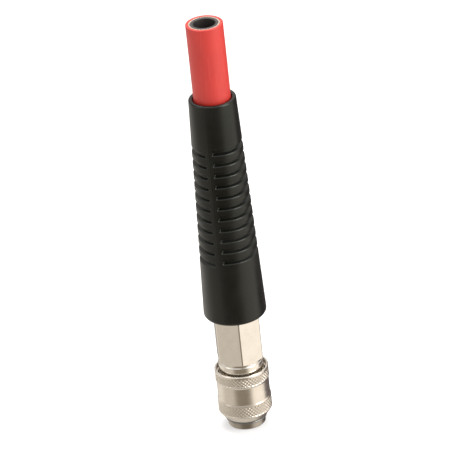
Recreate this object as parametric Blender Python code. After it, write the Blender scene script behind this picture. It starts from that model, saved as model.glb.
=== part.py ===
"""Quick disconnect coupler: an air-line socket on the end of a rubber hose.

The socket body, its sliding locking sleeve, six locking balls and its valve
screw into a hexagonal adapter. A barbed hose stem screws into the other end
of the adapter, a crimped ferrule grips the hose on it, and a tapered rubber
bend restrictor covers the joint.

Frame: metres, +Z up. The origin is the centre of the socket's mouth, Z is
the coupler's axis, and the hose leaves at the top.
"""

import math

import bmesh
import bpy
from mathutils import Matrix, Vector

MM = 0.001

# Driving dimensions of the interfaces.
HOSE_BORE_RADIUS = 4.75 * MM
HOSE_OUTER_RADIUS = 8.0 * MM
PLUG_BORE_RADIUS = 6.1 * MM
HEX_ACROSS_FLATS = 19.0 * MM
BODY_RADIUS = 8.0 * MM
THREAD_BORE_RADIUS = 8.3 * MM
FIT_GAP = 0.3 * MM

# Socket body.
BODY_LENGTH = 34.3 * MM
BODY_CHAMFER = 0.5 * MM
PLUG_BORE_DEPTH = 17.0 * MM
VALVE_CHAMBER_RADIUS = 7.1 * MM
RING_GROOVE_RADIUS = 7.3 * MM
RING_GROOVE_START = 2.65 * MM
RING_GROOVE_END = 3.75 * MM

# Locking balls.
BALL_COUNT = 6
BALL_RADIUS = 1.5 * MM
BALL_HOLE_RADIUS = 1.62 * MM
BALL_CENTRE_RADIUS = 6.7 * MM
BALL_Z = 11.0 * MM
BALL_TRAVEL = 1.0 * MM

# Locking sleeve, drawn in its locked position.
SLEEVE_TRAVEL = 4.0 * MM
SLEEVE_START = 4.0 * MM
SLEEVE_END = 27.8 * MM
SLEEVE_RADIUS = 11.75 * MM
SLEEVE_NOSE_RADIUS = 9.0 * MM
SLEEVE_WAIST_RADIUS = 11.45 * MM
SLEEVE_LAND_RADIUS = 8.3 * MM
SLEEVE_CHAMBER_RADIUS = 10.3 * MM
SLEEVE_COUNTERBORE_RADIUS = 10.95 * MM
SLEEVE_COUNTERBORE_START = SLEEVE_END - 2.4 * MM
SLEEVE_STEP_Z = 13.2 * MM
RAMP_SLOPE = BALL_TRAVEL / SLEEVE_TRAVEL

# Valve, with its plug seal in front and its guide behind.
SEAT_START = 20.4 * MM
SEAT_END = 22.0 * MM
SEAT_BORE_RADIUS = 4.6 * MM
POPPET_START = 15.5 * MM
POPPET_HEAD_START = 23.2 * MM
POPPET_HEAD_END = 25.2 * MM
POPPET_HEAD_RADIUS = 5.8 * MM
POPPET_NOSE_RADIUS = 4.2 * MM
POPPET_STEM_RADIUS = 2.0 * MM
GUIDE_START = BODY_LENGTH + FIT_GAP
GUIDE_END = GUIDE_START + 1.5 * MM
GUIDE_HUB_END = GUIDE_END + 0.9 * MM
POPPET_END = GUIDE_HUB_END + 1.0 * MM
GASKET_START = GUIDE_END + 0.2 * MM
GASKET_END = GASKET_START + 1.0 * MM

# Hexagonal adapter.
NECK_START = 25.0 * MM
NECK_RADIUS = 9.8 * MM
HEX_START = SLEEVE_END + SLEEVE_TRAVEL + 0.4 * MM
HEX_END = 53.6 * MM
ADAPTER_END = 57.0 * MM
ADAPTER_SHOULDER_START = GASKET_END + 0.2 * MM
ADAPTER_SHOULDER_END = 44.0 * MM
ADAPTER_SHOULDER_RADIUS = 6.7 * MM
HEX_CORNER_ANGLE = math.radians(-86.0)

# Hose stem and ferrule.
STEM_START = 46.0 * MM
STEM_END = 95.0 * MM
STEM_BORE_RADIUS = 3.2 * MM
WASHER_START = ADAPTER_END + FIT_GAP
WASHER_END = WASHER_START + 1.0 * MM
COLLAR_START = WASHER_END + FIT_GAP
COLLAR_END = COLLAR_START + 4.4 * MM
FLANGE_START = COLLAR_END + FIT_GAP
FLANGE_END = FLANGE_START + 1.2 * MM
SHOULDER_END = FLANGE_END + 1.1 * MM
BARB_RADIUS = 4.45 * MM
BARB_ROOT_RADIUS = 4.0 * MM
BARB_COUNT = 5
FERRULE_END = 92.0 * MM
FERRULE_RADIUS = 9.2 * MM
CRIMP_COUNT = 4
CRIMP_FIRST = 69.0 * MM
CRIMP_PITCH = 6.0 * MM

# Hose and bend restrictor.
HOSE_START = SHOULDER_END + 0.4 * MM
HOSE_END = 192.0 * MM
BOOT_START = 54.0 * MM
BOOT_END = 157.6 * MM
BOOT_BOTTOM_RADIUS = 13.7 * MM
BOOT_TOP_RADIUS = 10.2 * MM
BOOT_COLLAR_BORE = 10.25 * MM
BOOT_FERRULE_BORE = 9.5 * MM
BOOT_CUFF_END = 81.9 * MM
BOOT_COLLAR_START = 138.1 * MM
BOOT_GROOVE_COUNT = 11
BOOT_GROOVE_DEPTH = 0.9 * MM

# Facets round a full turn.
FINE = 32
MEDIUM = 24
COARSE = 16

NICKEL = ((0.66, 0.62, 0.56, 1.0), 0.26, 1.0)
STEEL = ((0.56, 0.55, 0.53, 1.0), 0.30, 1.0)
BRASS = ((0.70, 0.52, 0.26, 1.0), 0.32, 1.0)
SPRING_STEEL = ((0.42, 0.41, 0.40, 1.0), 0.34, 1.0)
BLACK_RUBBER = ((0.014, 0.014, 0.012, 1.0), 0.55, 0.0)
SEAL_RUBBER = ((0.02, 0.02, 0.02, 1.0), 0.45, 0.0)
RED_RUBBER = ((0.72, 0.055, 0.04, 1.0), 0.50, 0.0)


def clear_scene():
    """Remove every object, so that the script can be run again."""
    for item in list(bpy.data.objects):
        bpy.data.objects.remove(item, do_unlink=True)


def finish_object(name, bm, finish, smooth=True):
    """Make a named object, with its own material, from a closed bmesh."""
    bmesh.ops.recalc_face_normals(bm, faces=bm.faces)
    mesh = bpy.data.meshes.new(name)
    bm.to_mesh(mesh)
    bm.free()
    if smooth:
        mesh.shade_smooth()
        mesh.set_sharp_from_angle(angle=math.radians(35.0))
    item = bpy.data.objects.new(name, mesh)
    bpy.context.scene.collection.objects.link(item)
    add_material(item, finish)
    return item


def add_material(item, finish):
    """Give an object a Principled material of its own."""
    colour, roughness, metallic = finish
    material = bpy.data.materials.new(item.name)
    material.use_nodes = True
    shader = material.node_tree.nodes["Principled BSDF"]
    shader.inputs["Base Color"].default_value = colour
    shader.inputs["Roughness"].default_value = roughness
    shader.inputs["Metallic"].default_value = metallic
    item.data.materials.clear()
    item.data.materials.append(material)


def spin_outline(outline, facets, sweep=2.0 * math.pi):
    """Turn a closed (radius, z) outline about Z and return the bmesh.

    Points at radius zero close the shape on the axis. A sweep of less than a
    full turn leaves a split ring with flat ends.
    """
    bm = bmesh.new()
    points = [bm.verts.new((radius, 0.0, z)) for radius, z in outline]
    edges = []
    for index, point in enumerate(points):
        following = points[(index + 1) % len(points)]
        on_axis = abs(point.co.x) < 1e-9 and abs(following.co.x) < 1e-9
        if not on_axis:
            edges.append(bm.edges.new((point, following)))
    full_turn = abs(sweep - 2.0 * math.pi) < 1e-6
    bmesh.ops.spin(bm, geom=points + edges, cent=(0.0, 0.0, 0.0), axis=(0.0, 0.0, 1.0),
                   angle=sweep, steps=facets, use_merge=full_turn)
    bmesh.ops.remove_doubles(bm, verts=bm.verts, dist=1e-7)
    if not full_turn:
        open_edges = [edge for edge in bm.edges if edge.is_boundary]
        bmesh.ops.holes_fill(bm, edges=open_edges, sides=0)
    return bm


def turned(name, outline, finish, facets=MEDIUM):
    """Make a round piece from a closed (radius, z) outline."""
    return finish_object(name, spin_outline(outline, facets), finish)


def ring_outline(inner, outer, start, end):
    """Outline of a plain square-edged ring."""
    return [(outer, end), (outer, start), (inner, start), (inner, end)]


def round_ring_outline(centre_radius, centre_z, half_width, half_height, points=8):
    """Outline of a seal ring with an oval section."""
    outline = []
    for index in range(points):
        angle = 2.0 * math.pi * (index + 0.5) / points
        radius = centre_radius + half_width * math.cos(angle) / math.cos(math.pi / points)
        z = centre_z + half_height * math.sin(angle) / math.cos(math.pi / points)
        outline.append((radius, z))
    return outline


def rod_bmesh(radius, depth, facets, matrix):
    """A closed cylinder, centred on the matrix's origin and along its Z."""
    bm = bmesh.new()
    bmesh.ops.create_cone(bm, cap_ends=True, segments=facets, radius1=radius, radius2=radius,
                          depth=depth, matrix=matrix)
    return bm


def cutter_object(name, bm):
    """A hidden solid for a Boolean to cut with."""
    mesh = bpy.data.meshes.new(name)
    bmesh.ops.recalc_face_normals(bm, faces=bm.faces)
    bm.to_mesh(mesh)
    bm.free()
    item = bpy.data.objects.new(name, mesh)
    bpy.context.scene.collection.objects.link(item)
    item.hide_render = True
    item.display_type = "WIRE"
    return item


def add_boolean(item, cutter, operation):
    """Combine an object with a cutter by an exact Boolean."""
    modifier = item.modifiers.new(cutter.name, "BOOLEAN")
    modifier.object = cutter
    modifier.operation = operation
    modifier.solver = "EXACT"


def radial_matrix(angle, radius, z):
    """A frame at a place round the axis, with its Z pointing outwards."""
    outward = Vector((math.cos(angle), math.sin(angle), 0.0))
    place = Matrix.Translation(outward * radius + Vector((0.0, 0.0, z)))
    return place @ outward.to_track_quat("Z", "Y").to_matrix().to_4x4()


def joined(parts):
    """Put several closed bmeshes that do not touch into one."""
    whole = bmesh.new()
    for part in parts:
        mesh = bpy.data.meshes.new("part")
        part.to_mesh(mesh)
        part.free()
        whole.from_mesh(mesh)
        bpy.data.meshes.remove(mesh)
    return whole


def ball_angle(index):
    """Angle of a locking ball round the axis."""
    return 2.0 * math.pi * index / BALL_COUNT


def hex_bmesh(across_flats, start, end):
    """A hexagonal prism on the axis, with a corner at the adapter's angle.

    The prism's first corner is made on +Y, a quarter turn past +X.
    """
    corner_radius = across_flats / 2.0 / math.cos(math.pi / 6.0)
    turn = Matrix.Rotation(HEX_CORNER_ANGLE - math.pi / 2.0, 4, "Z")
    place = Matrix.Translation((0.0, 0.0, (start + end) / 2.0)) @ turn
    return rod_bmesh(corner_radius, end - start, 6, place)


def make_socket_body():
    """Steel body: plug bore, valve chamber, ball holes and ring groove."""
    outline = [
        (BODY_RADIUS - BODY_CHAMFER, BODY_LENGTH),
        (BODY_RADIUS, BODY_LENGTH - BODY_CHAMFER),
        (BODY_RADIUS, RING_GROOVE_END),
        (RING_GROOVE_RADIUS, RING_GROOVE_END),
        (RING_GROOVE_RADIUS, RING_GROOVE_START),
        (BODY_RADIUS + 0.2 * MM, RING_GROOVE_START),
        (BODY_RADIUS + 0.2 * MM, 0.3 * MM),
        (BODY_RADIUS - 0.1 * MM, 0.0),
        (PLUG_BORE_RADIUS + 0.5 * MM, 0.0),
        (PLUG_BORE_RADIUS, 0.8 * MM),
        (PLUG_BORE_RADIUS, PLUG_BORE_DEPTH),
        (VALVE_CHAMBER_RADIUS, PLUG_BORE_DEPTH),
        (VALVE_CHAMBER_RADIUS, BODY_LENGTH),
    ]
    body = turned("socket_body", outline, STEEL, FINE)
    holes = []
    for index in range(BALL_COUNT):
        place = radial_matrix(ball_angle(index), BODY_RADIUS - 1.0 * MM, BALL_Z)
        holes.append(rod_bmesh(BALL_HOLE_RADIUS, 5.0 * MM, COARSE, place))
    add_boolean(body, cutter_object("ball_holes", joined(holes)), "DIFFERENCE")


def make_stop_ring():
    """Split ring in the body's front groove, which stops the sleeve."""
    side_gap = 0.15 * MM
    outline = ring_outline(RING_GROOVE_RADIUS + side_gap, SLEEVE_NOSE_RADIUS - 0.05 * MM,
                           RING_GROOVE_START + side_gap, RING_GROOVE_END - side_gap)
    bm = spin_outline(outline, MEDIUM, math.radians(330.0))
    bmesh.ops.rotate(bm, verts=bm.verts, cent=(0.0, 0.0, 0.0),
                     matrix=Matrix.Rotation(math.radians(105.0), 3, "Z"))
    finish_object("sleeve_stop_ring", bm, SPRING_STEEL)


def make_balls():
    """Six balls in the body's holes, which lock the plug."""
    for index in range(BALL_COUNT):
        bm = bmesh.new()
        bmesh.ops.create_icosphere(bm, subdivisions=2, radius=BALL_RADIUS)
        ball = finish_object(f"locking_ball_{index + 1}", bm, STEEL)
        angle = ball_angle(index)
        ball.location = (BALL_CENTRE_RADIUS * math.cos(angle),
                         BALL_CENTRE_RADIUS * math.sin(angle), BALL_Z)
        ball.rotation_euler = (0.0, 0.0, angle)


def sleeve_ramp_radius(z):
    """Inner radius of the sleeve's ball ramp, which widens to the front."""
    return BALL_CENTRE_RADIUS + BALL_RADIUS + 0.16 * MM + RAMP_SLOPE * (BALL_Z - z)


def make_locking_sleeve():
    """Outer sleeve with its lip, ball ramp, spring chamber and rear counterbore."""
    recess_end = BALL_Z - SLEEVE_TRAVEL
    recess_start = recess_end - 1.4 * MM
    ramp_end = BALL_Z + 0.24 * MM
    outline = [
        (SLEEVE_RADIUS - 0.3 * MM, SLEEVE_END),
        (SLEEVE_RADIUS, SLEEVE_END - 0.3 * MM),
        (SLEEVE_RADIUS, 22.6 * MM),
        (SLEEVE_WAIST_RADIUS, 21.9 * MM),
        (SLEEVE_WAIST_RADIUS - 0.1 * MM, 17.5 * MM),
        (SLEEVE_WAIST_RADIUS, 13.6 * MM),
        (SLEEVE_RADIUS, 12.9 * MM),
        (SLEEVE_RADIUS, 7.8 * MM),
        (SLEEVE_RADIUS - 0.35 * MM, 7.2 * MM),
        (SLEEVE_NOSE_RADIUS + 0.25 * MM, SLEEVE_START + 0.15 * MM),
        (SLEEVE_NOSE_RADIUS, SLEEVE_START),
        (SLEEVE_LAND_RADIUS, SLEEVE_START),
        (SLEEVE_LAND_RADIUS, recess_start),
        (sleeve_ramp_radius(recess_end), recess_start),
        (sleeve_ramp_radius(recess_end), recess_end),
        (SLEEVE_LAND_RADIUS, ramp_end),
        (SLEEVE_LAND_RADIUS, SLEEVE_STEP_Z),
        (SLEEVE_CHAMBER_RADIUS, SLEEVE_STEP_Z),
        (SLEEVE_CHAMBER_RADIUS, SLEEVE_COUNTERBORE_START),
        (SLEEVE_COUNTERBORE_RADIUS, SLEEVE_COUNTERBORE_START),
        (SLEEVE_COUNTERBORE_RADIUS, SLEEVE_END),
    ]
    turned("locking_sleeve", outline, NICKEL, FINE)


def make_thrust_washer():
    """Washer on the sleeve's step, which carries the spring."""
    outline = ring_outline(THREAD_BORE_RADIUS, SLEEVE_CHAMBER_RADIUS - 0.2 * MM,
                           SLEEVE_STEP_Z + 0.12 * MM, SLEEVE_STEP_Z + 0.8 * MM)
    turned("thrust_washer", outline, STEEL, MEDIUM)


def make_spring(name, mean_radius, wire_radius, start, end, turns):
    """Coil spring with closed ends, from its bottom face to its top face."""
    points_per_turn = 14
    count = int(turns * points_per_turn) + 1
    low = start + wire_radius
    high = end - wire_radius
    closed = 2.15 * wire_radius
    curve = bpy.data.curves.new(name, "CURVE")
    curve.dimensions = "3D"
    curve.bevel_depth = wire_radius
    curve.bevel_resolution = 1
    curve.use_fill_caps = True
    spline = curve.splines.new("POLY")
    spline.points.add(count - 1)
    for index in range(count):
        turn = index / points_per_turn
        if turn < 1.0:
            z = low + closed * turn
        elif turn > turns - 1.0:
            z = high - closed * (turns - turn)
        else:
            share = (turn - 1.0) / (turns - 2.0)
            z = low + closed + share * (high - low - 2.0 * closed)
        angle = 2.0 * math.pi * turn
        place = (mean_radius * math.cos(angle), mean_radius * math.sin(angle), z, 1.0)
        spline.points[index].co = place
    item = bpy.data.objects.new(name, curve)
    bpy.context.scene.collection.objects.link(item)
    add_material(item, SPRING_STEEL)


def make_adapter():
    """Hexagonal adapter: round neck, spanner flats, tail and two thread bores."""
    corner_radius = HEX_ACROSS_FLATS / 2.0 / math.cos(math.pi / 6.0)
    outline = [
        (NECK_RADIUS - 0.3 * MM, ADAPTER_END),
        (NECK_RADIUS, ADAPTER_END - 0.3 * MM),
        (NECK_RADIUS, HEX_END),
        (corner_radius + 0.2 * MM, HEX_END - 0.9 * MM),
        (corner_radius + 0.2 * MM, HEX_START + 0.9 * MM),
        (corner_radius - 1.6 * MM, HEX_START),
        (NECK_RADIUS - 0.3 * MM, HEX_START),
        (NECK_RADIUS - 0.3 * MM, HEX_START - 0.8 * MM),
        (NECK_RADIUS, HEX_START - 1.1 * MM),
        (NECK_RADIUS, NECK_START + 0.3 * MM),
        (NECK_RADIUS - 0.3 * MM, NECK_START),
        (THREAD_BORE_RADIUS, NECK_START),
        (THREAD_BORE_RADIUS, ADAPTER_SHOULDER_START),
        (ADAPTER_SHOULDER_RADIUS, ADAPTER_SHOULDER_START),
        (ADAPTER_SHOULDER_RADIUS, ADAPTER_SHOULDER_END),
        (THREAD_BORE_RADIUS, ADAPTER_SHOULDER_END),
        (THREAD_BORE_RADIUS, ADAPTER_END - 0.6 * MM),
        (THREAD_BORE_RADIUS + 0.5 * MM, ADAPTER_END),
    ]
    adapter = turned("hex_adapter", outline, NICKEL, FINE)
    envelope = flats_envelope("adapter", HEX_ACROSS_FLATS, HEX_START, HEX_END,
                              NECK_RADIUS + 0.1 * MM)
    add_boolean(adapter, envelope, "INTERSECT")


def flats_envelope(name, across_flats, low, high, clear_radius):
    """Cutter that keeps a hexagon between two heights and a cylinder beyond.

    The hexagon reaches a little past both heights, where the piece is slimmer.
    """
    reach = 30.0 * MM
    overlap = 0.1 * MM
    flats = hex_bmesh(across_flats, low - overlap, high + overlap)
    ends = [rod_bmesh(clear_radius, reach, FINE, Matrix.Translation((0.0, 0.0, middle)))
            for middle in (low - reach / 2.0, high + reach / 2.0)]
    envelope = cutter_object(f"{name}_flats", flats)
    add_boolean(envelope, cutter_object(f"{name}_clearance", joined(ends)), "UNION")
    return envelope


def make_plug_seal():
    """Lip seal that closes on the plug's nose."""
    start = PLUG_BORE_DEPTH + 0.2 * MM
    outline = [
        (VALVE_CHAMBER_RADIUS - 0.15 * MM, start + 3.0 * MM),
        (VALVE_CHAMBER_RADIUS - 0.15 * MM, start),
        (5.9 * MM, start),
        (5.35 * MM, start + 0.9 * MM),
        (5.35 * MM, start + 1.6 * MM),
        (5.7 * MM, start + 3.0 * MM),
    ]
    turned("plug_seal", outline, SEAL_RUBBER, MEDIUM)


def make_valve_seat():
    """Brass seat ring for the valve."""
    outline = [
        (VALVE_CHAMBER_RADIUS - 0.15 * MM, SEAT_END),
        (VALVE_CHAMBER_RADIUS - 0.15 * MM, SEAT_START),
        (SEAT_BORE_RADIUS + 0.3 * MM, SEAT_START),
        (SEAT_BORE_RADIUS, SEAT_START + 0.5 * MM),
        (SEAT_BORE_RADIUS, SEAT_END),
    ]
    turned("valve_seat", outline, BRASS, MEDIUM)


def make_valve_poppet():
    """Poppet: slotted front pusher, sealing head and rear guide stem."""
    nose_bore_radius = 3.0 * MM
    nose_bore_end = POPPET_HEAD_START - 0.6 * MM
    outline = [
        (0.0, POPPET_END),
        (POPPET_STEM_RADIUS - 0.4 * MM, POPPET_END),
        (POPPET_STEM_RADIUS, POPPET_END - 0.4 * MM),
        (POPPET_STEM_RADIUS, POPPET_HEAD_END),
        (POPPET_HEAD_RADIUS, POPPET_HEAD_END),
        (POPPET_HEAD_RADIUS, POPPET_HEAD_START),
        (POPPET_NOSE_RADIUS, POPPET_HEAD_START),
        (POPPET_NOSE_RADIUS, POPPET_START + 0.3 * MM),
        (POPPET_NOSE_RADIUS - 0.3 * MM, POPPET_START),
        (nose_bore_radius, POPPET_START),
        (nose_bore_radius, nose_bore_end),
        (0.0, nose_bore_end),
    ]
    poppet = turned("valve_poppet", outline, BRASS, MEDIUM)
    port_z = POPPET_START + 3.1 * MM
    ports = [rod_bmesh(1.1 * MM, 3.0 * MM, 8, radial_matrix(angle, POPPET_NOSE_RADIUS, port_z))
             for angle in quarter_angles()]
    add_boolean(poppet, cutter_object("poppet_ports", joined(ports)), "DIFFERENCE")


def quarter_angles():
    """Four angles round the axis, halfway between X and Y."""
    return [math.radians(45.0 + 90.0 * index) for index in range(4)]


def make_valve_face_seal():
    """Rubber ring in front of the poppet's head."""
    middle = (SEAT_END + POPPET_HEAD_START) / 2.0
    outline = round_ring_outline(5.05 * MM, middle, 0.6 * MM, 0.42 * MM)
    turned("valve_face_seal", outline, SEAL_RUBBER, MEDIUM)


def make_valve_guide():
    """Guide disc behind the body: centre hub and four flow holes."""
    hole_place_radius = 5.3 * MM
    outline = [
        (BODY_RADIUS, GUIDE_END),
        (BODY_RADIUS, GUIDE_START),
        (POPPET_STEM_RADIUS + FIT_GAP, GUIDE_START),
        (POPPET_STEM_RADIUS + FIT_GAP, GUIDE_HUB_END),
        (POPPET_STEM_RADIUS + 1.4 * MM, GUIDE_HUB_END),
        (POPPET_STEM_RADIUS + 1.4 * MM, GUIDE_END),
    ]
    guide = turned("valve_guide", outline, BRASS, MEDIUM)
    middle = (GUIDE_START + GUIDE_END) / 2.0
    holes = []
    for angle in quarter_angles():
        place = Matrix.Translation((hole_place_radius * math.cos(angle),
                                    hole_place_radius * math.sin(angle), middle))
        holes.append(rod_bmesh(1.2 * MM, 4.0 * MM, 8, place))
    add_boolean(guide, cutter_object("guide_holes", joined(holes)), "DIFFERENCE")


def make_hose_stem():
    """Barbed hose stem: threaded end, hexagonal collar, ferrule groove, barbs."""
    collar_radius = 9.8 * MM
    relief_radius = 7.2 * MM
    groove_radius = 5.3 * MM
    shoulder_radius = 6.2 * MM
    barb_pitch = 5.0 * MM
    outline = [
        (STEM_BORE_RADIUS, STEM_START),
        (STEM_BORE_RADIUS, STEM_END),
        (BARB_ROOT_RADIUS, STEM_END),
    ]
    for index in range(BARB_COUNT):
        top = STEM_END - 0.5 * MM - index * barb_pitch
        outline.append((BARB_ROOT_RADIUS, top))
        outline.append((BARB_RADIUS, top - 3.2 * MM))
        outline.append((BARB_ROOT_RADIUS, top - 3.6 * MM))
    outline += [
        (BARB_ROOT_RADIUS, SHOULDER_END),
        (shoulder_radius, SHOULDER_END),
        (shoulder_radius, FLANGE_END + 0.4 * MM),
        (groove_radius, FLANGE_END + 0.4 * MM),
        (groove_radius, COLLAR_END),
        (collar_radius - 0.9 * MM, COLLAR_END),
        (collar_radius, COLLAR_END - 0.5 * MM),
        (collar_radius, COLLAR_START + 0.5 * MM),
        (collar_radius - 0.9 * MM, COLLAR_START),
        (relief_radius, COLLAR_START),
        (relief_radius, COLLAR_START - 1.6 * MM),
        (BODY_RADIUS, COLLAR_START - 2.4 * MM),
        (BODY_RADIUS, STEM_START + 0.8 * MM),
        (BODY_RADIUS - 0.8 * MM, STEM_START),
    ]
    stem = turned("hose_stem", outline, STEEL, MEDIUM)
    envelope = flats_envelope("collar", 17.0 * MM, COLLAR_START, COLLAR_END, BODY_RADIUS + 0.4 * MM)
    add_boolean(stem, envelope, "INTERSECT")


def make_ferrule():
    """Crimped ferrule: end flange in the stem's groove and crimp rings."""
    flange_bore_radius = 5.6 * MM
    crimp_depth = 0.35 * MM
    outline = [
        (THREAD_BORE_RADIUS, FERRULE_END),
        (THREAD_BORE_RADIUS, FLANGE_END),
        (flange_bore_radius, FLANGE_END),
        (flange_bore_radius, FLANGE_START),
        (FERRULE_RADIUS - 0.4 * MM, FLANGE_START),
        (FERRULE_RADIUS, FLANGE_START + 0.4 * MM),
    ]
    for index in range(CRIMP_COUNT):
        middle = CRIMP_FIRST + index * CRIMP_PITCH
        outline.append((FERRULE_RADIUS, middle - 1.8 * MM))
        outline.append((FERRULE_RADIUS - crimp_depth, middle - 1.2 * MM))
        outline.append((FERRULE_RADIUS - crimp_depth, middle + 1.2 * MM))
        outline.append((FERRULE_RADIUS, middle + 1.8 * MM))
    outline.append((FERRULE_RADIUS, FERRULE_END - 0.4 * MM))
    outline.append((FERRULE_RADIUS - 0.3 * MM, FERRULE_END))
    turned("crimp_ferrule", outline, BRASS, MEDIUM)


def make_hose_tail():
    """Short end of rubber air hose, cut square."""
    outline = ring_outline(HOSE_BORE_RADIUS, HOSE_OUTER_RADIUS, HOSE_START, HOSE_END)
    turned("hose_tail", outline, RED_RUBBER, MEDIUM)


def boot_radius(z):
    """Outer radius of the bend restrictor's straight taper."""
    share = (z - BOOT_START) / (BOOT_END - BOOT_START)
    return BOOT_BOTTOM_RADIUS + share * (BOOT_TOP_RADIUS - BOOT_BOTTOM_RADIUS)


def make_bend_restrictor():
    """Tapered rubber boot with a plain cuff, a grooved middle and a collar."""
    corner = 2.6 * MM
    outline = []
    for index in range(5):
        angle = math.radians(-90.0 + 90.0 * index / 4.0)
        radius = boot_radius(BOOT_START) - corner + corner * math.cos(angle)
        outline.append((radius, BOOT_START + corner + corner * math.sin(angle)))
    outline.append((boot_radius(BOOT_CUFF_END), BOOT_CUFF_END))
    pitch = (BOOT_COLLAR_START - BOOT_CUFF_END) / BOOT_GROOVE_COUNT
    for index in range(BOOT_GROOVE_COUNT):
        low = BOOT_CUFF_END + index * pitch
        wall = boot_radius(low + pitch / 2.0)
        outline.append((wall - BOOT_GROOVE_DEPTH, low + 0.30 * pitch))
        outline.append((wall - BOOT_GROOVE_DEPTH, low + 0.55 * pitch))
        outline.append((boot_radius(low + 0.8 * pitch), low + 0.8 * pitch))
        outline.append((boot_radius(low + pitch), low + pitch))
    outline += [
        (boot_radius(BOOT_END), BOOT_END - 0.8 * MM),
        (boot_radius(BOOT_END) - 0.7 * MM, BOOT_END),
        (THREAD_BORE_RADIUS, BOOT_END),
        (THREAD_BORE_RADIUS, FERRULE_END + 2.0 * MM),
        (BOOT_FERRULE_BORE, FERRULE_END + 1.0 * MM),
        (BOOT_FERRULE_BORE, COLLAR_END + 1.4 * MM),
        (BOOT_COLLAR_BORE, COLLAR_END + 0.6 * MM),
        (BOOT_COLLAR_BORE, BOOT_START),
    ]
    turned("bend_restrictor", outline, BLACK_RUBBER, MEDIUM)


def main():
    """Build every piece."""
    clear_scene()
    make_socket_body()
    make_stop_ring()
    make_balls()
    make_locking_sleeve()
    make_thrust_washer()
    make_spring("sleeve_spring", 9.15 * MM, 0.5 * MM, SLEEVE_STEP_Z + 0.95 * MM,
                NECK_START - 0.15 * MM, 5.0)
    make_plug_seal()
    make_valve_seat()
    make_valve_face_seal()
    make_valve_poppet()
    make_spring("valve_spring", 4.2 * MM, 0.4 * MM, POPPET_HEAD_END + 0.15 * MM,
                GUIDE_START - 0.15 * MM, 4.5)
    make_valve_guide()
    gasket_outline = ring_outline(ADAPTER_SHOULDER_RADIUS + 0.2 * MM, BODY_RADIUS,
                                  GASKET_START, GASKET_END)
    turned("body_gasket", gasket_outline, SEAL_RUBBER, MEDIUM)
    make_adapter()
    washer_outline = ring_outline(THREAD_BORE_RADIUS, THREAD_BORE_RADIUS + 1.0 * MM,
                                  WASHER_START, WASHER_END)
    turned("thread_seal_washer", washer_outline, BRASS, MEDIUM)
    make_hose_stem()
    make_ferrule()
    make_hose_tail()
    make_bend_restrictor()


main()
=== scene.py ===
"""Looks of the quick disconnect coupler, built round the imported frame."""

import math

import bmesh
import bpy
from mathutils import Matrix, Vector


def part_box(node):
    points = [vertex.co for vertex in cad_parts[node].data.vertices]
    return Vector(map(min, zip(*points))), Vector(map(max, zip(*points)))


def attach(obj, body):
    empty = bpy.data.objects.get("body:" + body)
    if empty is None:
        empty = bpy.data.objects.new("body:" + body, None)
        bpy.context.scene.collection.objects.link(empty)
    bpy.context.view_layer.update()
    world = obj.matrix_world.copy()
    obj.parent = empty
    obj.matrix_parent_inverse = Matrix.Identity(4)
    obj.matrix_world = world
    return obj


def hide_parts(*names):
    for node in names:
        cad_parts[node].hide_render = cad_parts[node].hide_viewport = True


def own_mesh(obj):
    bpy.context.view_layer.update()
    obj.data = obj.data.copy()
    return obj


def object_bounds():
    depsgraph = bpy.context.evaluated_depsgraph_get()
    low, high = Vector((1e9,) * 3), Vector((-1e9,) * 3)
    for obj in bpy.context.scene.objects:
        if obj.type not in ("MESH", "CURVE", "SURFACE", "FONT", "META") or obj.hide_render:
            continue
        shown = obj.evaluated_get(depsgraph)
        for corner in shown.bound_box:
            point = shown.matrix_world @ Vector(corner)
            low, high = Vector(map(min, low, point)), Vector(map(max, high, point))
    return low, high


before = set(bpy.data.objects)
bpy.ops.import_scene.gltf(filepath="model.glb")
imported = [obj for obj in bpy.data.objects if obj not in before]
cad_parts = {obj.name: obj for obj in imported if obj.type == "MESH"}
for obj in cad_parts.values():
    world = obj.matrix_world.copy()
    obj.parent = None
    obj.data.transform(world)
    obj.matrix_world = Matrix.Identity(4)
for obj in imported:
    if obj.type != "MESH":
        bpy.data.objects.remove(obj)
CAD_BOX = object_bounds()

MM = 0.001
FULL_TURN = 2.0 * math.pi
TINY = 1e-6

ROOT = "coupler_body"

# How finely the pieces are made: where shading turns sharp, the sides of a
# turned piece, the angle between the points of a rounded corner, the share of
# an edge that one rounding may take, and the height between the rows of the
# adapter's and the stem's threads.
SHARP_DEGREES = 35.0
COIL_SHARP_DEGREES = 50.0
TURNED_SIDES = 96
ARC_STEP = math.radians(23.0)
LONGEST_ROUNDING = 0.48
THREAD_ROW = 0.18

# Sizes that the frame's boxes don't give. Lengths are in millimetres, here
# and in every function that makes a piece; angles are in radians.
BODY_RADIUS = 8.0
BODY_THREAD_START = 26.0
PLUG_BORE_RADIUS = 6.1
PLUG_BORE_DEPTH = 17.0
VALVE_CHAMBER_RADIUS = 7.1
BALL_COUNT = 6
BALL_RADIUS = 1.5
BALL_HOLE_RADIUS = 1.62
RING_GROOVE = (2.65, 3.75)
RING_GROOVE_RADIUS = 7.3
RING_INNER_RADIUS = 7.45
RING_OUTER_RADIUS = 8.95
RING_GAP = math.radians(30.0)
WASHER_BORE_RADIUS = 8.3
GASKET_BORE_RADIUS = 6.9
FERRULE_BORE_RADIUS = 8.3
THREAD_BORE_RADIUS = 8.3
THREAD_PITCH = 1.3
THREAD_DEPTH = 0.55
SLEEVE_LAND_RADIUS = 8.3
SLEEVE_CHAMBER_RADIUS = 10.3
SLEEVE_STEP = 13.2
SLEEVE_COUNTERBORE_RADIUS = 10.95
SLEEVE_COUNTERBORE_DEPTH = 2.4
SLEEVE_TRAVEL = 4.0
HEX_ACROSS_FLATS = 19.0
HEX_START = 32.2
HEX_END = 53.6
HEX_TURN = math.radians(-86.0)
HEX_EDGE_RADIUS = 0.9
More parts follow.
